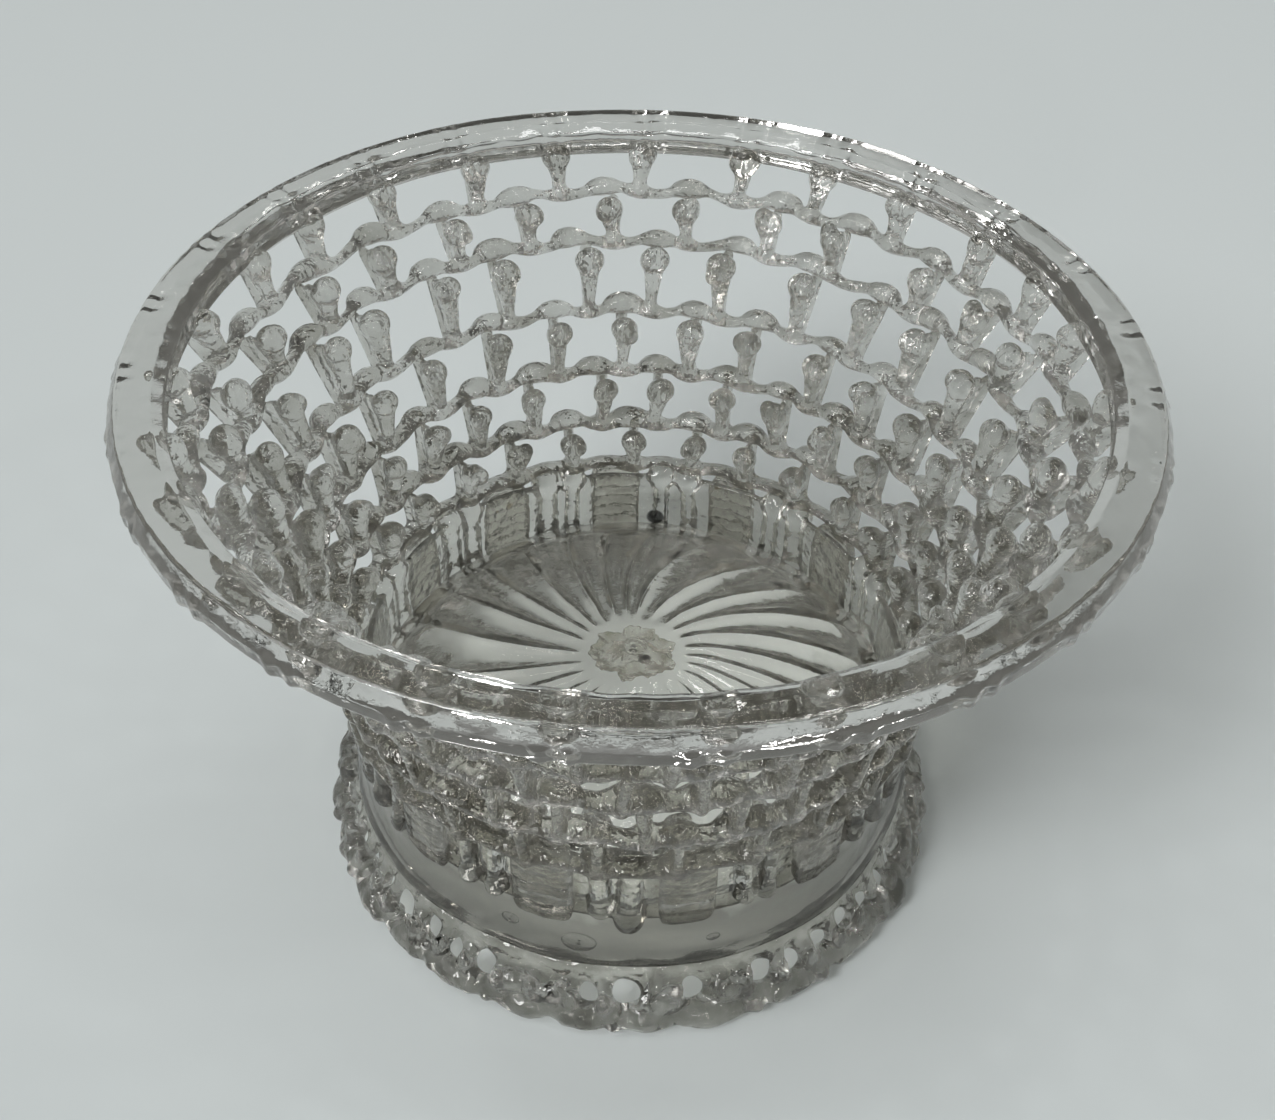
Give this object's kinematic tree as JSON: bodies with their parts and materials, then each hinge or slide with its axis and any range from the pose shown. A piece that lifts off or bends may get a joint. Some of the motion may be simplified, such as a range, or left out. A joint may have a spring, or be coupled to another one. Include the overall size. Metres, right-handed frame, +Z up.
{
  "type": "openwork glass flower basket",
  "caption": "Flared openwork bowl of trailed clear glass for holding flowers, with a smooth rim, beaded lattice courses, stamped prunts and a crimped hollow foot.",
  "frame": {"origin": "centre of the flat ring that the foot rests on, at table height", "axes": "+Z up along the bowl's axis, towards the rim; -Y is the side that faces the usual viewer"},
  "size_m": [0.2, 0.2, 0.126],
  "materials": {
    "clear_glass": "clear, fire-polished, slightly grey",
    "lattice_glass": "clear, fire-polished trails and beads with small bubbles",
    "stamped_glass": "clear, stamped with a grid, slightly frosted",
    "foot_glass": "clear, fire-polished and crimped",
    "pontil_glass": "rough broken glass"
  },
  "bodies": {
    "root": {"rim_ring": "clear_glass", "trail_1": "lattice_glass", "trail_2": "lattice_glass", "trail_3": "lattice_glass", "trail_4": "lattice_glass", "trail_5": "lattice_glass", "trail_6": "lattice_glass", "struts_1": "lattice_glass", "struts_2": "lattice_glass", "struts_3": "lattice_glass", "struts_4": "lattice_glass", "struts_5": "lattice_glass", "struts_6": "lattice_glass", "beads_1": "lattice_glass", "beads_2": "lattice_glass", "beads_3": "lattice_glass", "beads_4": "lattice_glass", "beads_5": "lattice_glass", "beads_6": "lattice_glass", "waffle_prunts": "stamped_glass", "clear_drops": "clear_glass", "base_body": "clear_glass", "pontil_mark": "pontil_glass", "foot_collar": "foot_glass", "foot_crimps": "foot_glass", "foot_rope": "foot_glass"}
  },
  "joints": []
}
